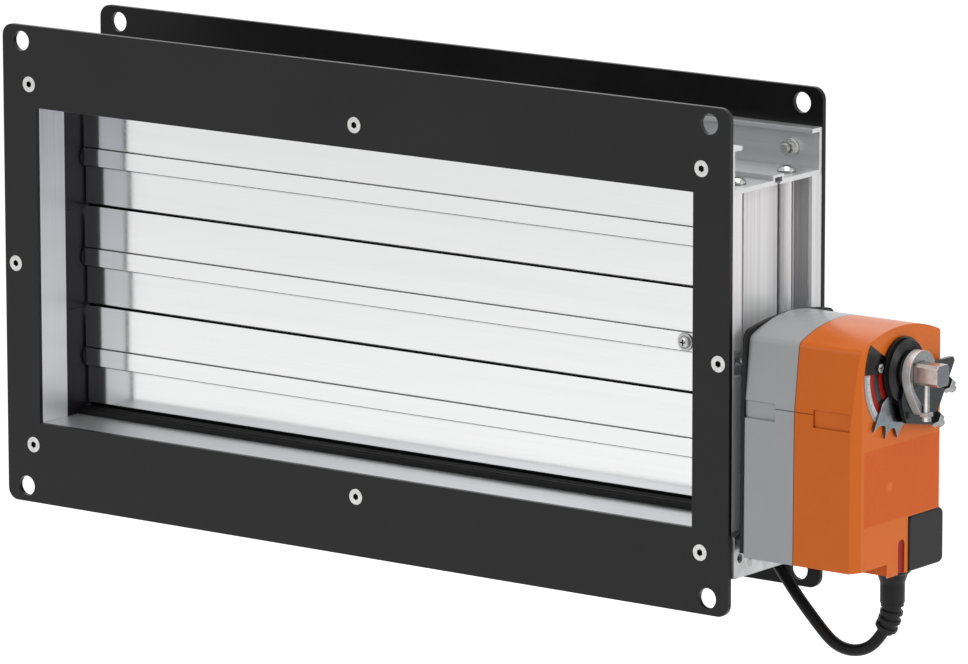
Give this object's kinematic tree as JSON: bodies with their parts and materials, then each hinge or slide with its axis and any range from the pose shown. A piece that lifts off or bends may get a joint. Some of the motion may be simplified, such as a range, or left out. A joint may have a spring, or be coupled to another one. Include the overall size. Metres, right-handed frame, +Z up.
{
  "type": "multi-blade duct damper",
  "caption": "Rectangular duct damper with geared counter-sealed hollow blades in a flanged aluminium frame, turned by a spring-return actuator clamped on a square shaft.",
  "frame": {"origin": "centre of the front flange plate's outer face", "axes": "+X along the blades towards the actuator, +Y through the duct from the front flange to the rear flange, +Z up"},
  "size_m": [0.5353, 0.0785, 0.2645],
  "materials": {
    "plate_coat": "satin black powder coat",
    "frame_aluminium": "mill finish extrusion",
    "blade_aluminium": "bright extrusion",
    "screw_steel": "zinc plated",
    "seal_rubber": "soft black rubber",
    "black_plastic": "moulded black",
    "gear_plastic": "moulded glass-filled nylon",
    "bracket_steel": "galvanised sheet",
    "grey_housing": "moulded grey",
    "orange_housing": "moulded orange",
    "red_insert": "moulded red",
    "shaft_steel": "zinc plated steel",
    "dark_steel": "dark hardened steel",
    "cable_sheath": "black sheath",
    "motor_steel": "plain",
    "board_green": "circuit board",
    "scale_print": "pale grey with fine ticks"
  },
  "bodies": {
    "casing": {"front_flange_plate": "plate_coat", "rear_flange_plate": "plate_coat", "top_frame_profile": "frame_aluminium", "bottom_frame_profile": "frame_aluminium", "left_frame_profile": "frame_aluminium", "right_frame_profile": "frame_aluminium", "front_flange_screws": "screw_steel", "rear_flange_screws": "screw_steel", "flange_nuts": "screw_steel", "frame_corner_screws": "screw_steel", "top_stop_seal": "seal_rubber", "bottom_stop_seal": "seal_rubber", "idler_pins": "screw_steel", "shaft_bush": "black_plastic", "actuator_bracket": "bracket_steel", "actuator_back_plate": "black_plastic", "actuator_base": "grey_housing", "actuator_cover": "orange_housing", "terminal_cover": "black_plastic", "slot_insert": "red_insert", "actuator_fixing_screws": "screw_steel", "actuator_motor": "motor_steel", "return_spring": "motor_steel", "circuit_board": "board_green", "angle_scale": "scale_print", "stop_fan": "screw_steel", "stop_screw": "screw_steel", "stop_sector": "screw_steel", "strain_relief": "black_plastic", "cable_boot": "seal_rubber", "actuator_cable": "cable_sheath", "cable_hank": "cable_sheath", "cable_ties": "black_plastic", "bearing_plate_top": "black_plastic", "gear_plate_top": "black_plastic", "bearing_plate_middle": "black_plastic", "gear_plate_middle": "black_plastic", "bearing_plate_bottom": "black_plastic", "gear_plate_bottom": "black_plastic"},
    "blade_top": {"blade_top": "blade_aluminium", "blade_seal_top": "seal_rubber", "blade_pin_top": "black_plastic", "gear_top": "gear_plastic"},
    "blade_middle": {"blade_middle": "blade_aluminium", "blade_seal_middle": "seal_rubber", "blade_pin_middle": "black_plastic", "gear_middle": "gear_plastic", "drive_shaft": "shaft_steel", "blade_screw": "screw_steel", "clamp_sleeve": "dark_steel", "clamp_plate": "dark_steel", "clamp_jaw": "shaft_steel", "clamp_screw": "shaft_steel", "clamp_nuts": "shaft_steel"},
    "blade_bottom": {"blade_bottom": "blade_aluminium", "blade_seal_bottom": "seal_rubber", "blade_pin_bottom": "black_plastic", "gear_bottom": "gear_plastic"},
    "idler_upper": {"idler_gear_upper": "gear_plastic"},
    "idler_lower": {"idler_gear_lower": "gear_plastic"}
  },
  "joints": [
    {"name": "drive_turn", "type": "hinge", "parent": "casing", "child": "blade_middle", "pos_m": [0, 0.03925, 0], "axis": [1, 0, 0], "range_deg": [0, 90], "stiffness_Nm_per_rad": 0.4, "springref_deg": -28.65},
    {"name": "top_blade_turn", "type": "hinge", "parent": "casing", "child": "blade_top", "pos_m": [0, 0.03925, 0.051], "axis": [1, 0, 0], "range_deg": [0, 90]},
    {"name": "bottom_blade_turn", "type": "hinge", "parent": "casing", "child": "blade_bottom", "pos_m": [0, 0.03925, -0.051], "axis": [1, 0, 0], "range_deg": [0, 90]},
    {"name": "upper_idler_turn", "type": "hinge", "parent": "casing", "child": "idler_upper", "pos_m": [0, 0.03925, 0.0255], "axis": [1, 0, 0], "range_deg": [-90, 0]},
    {"name": "lower_idler_turn", "type": "hinge", "parent": "casing", "child": "idler_lower", "pos_m": [0, 0.03925, -0.0255], "axis": [1, 0, 0], "range_deg": [-90, 0]}
  ],
  "couplings": [
    {"joint": "top_blade_turn", "follows": "drive_turn", "ratio": 1},
    {"joint": "bottom_blade_turn", "follows": "drive_turn", "ratio": 1},
    {"joint": "upper_idler_turn", "follows": "drive_turn", "ratio": -1},
    {"joint": "lower_idler_turn", "follows": "drive_turn", "ratio": -1}
  ]
}
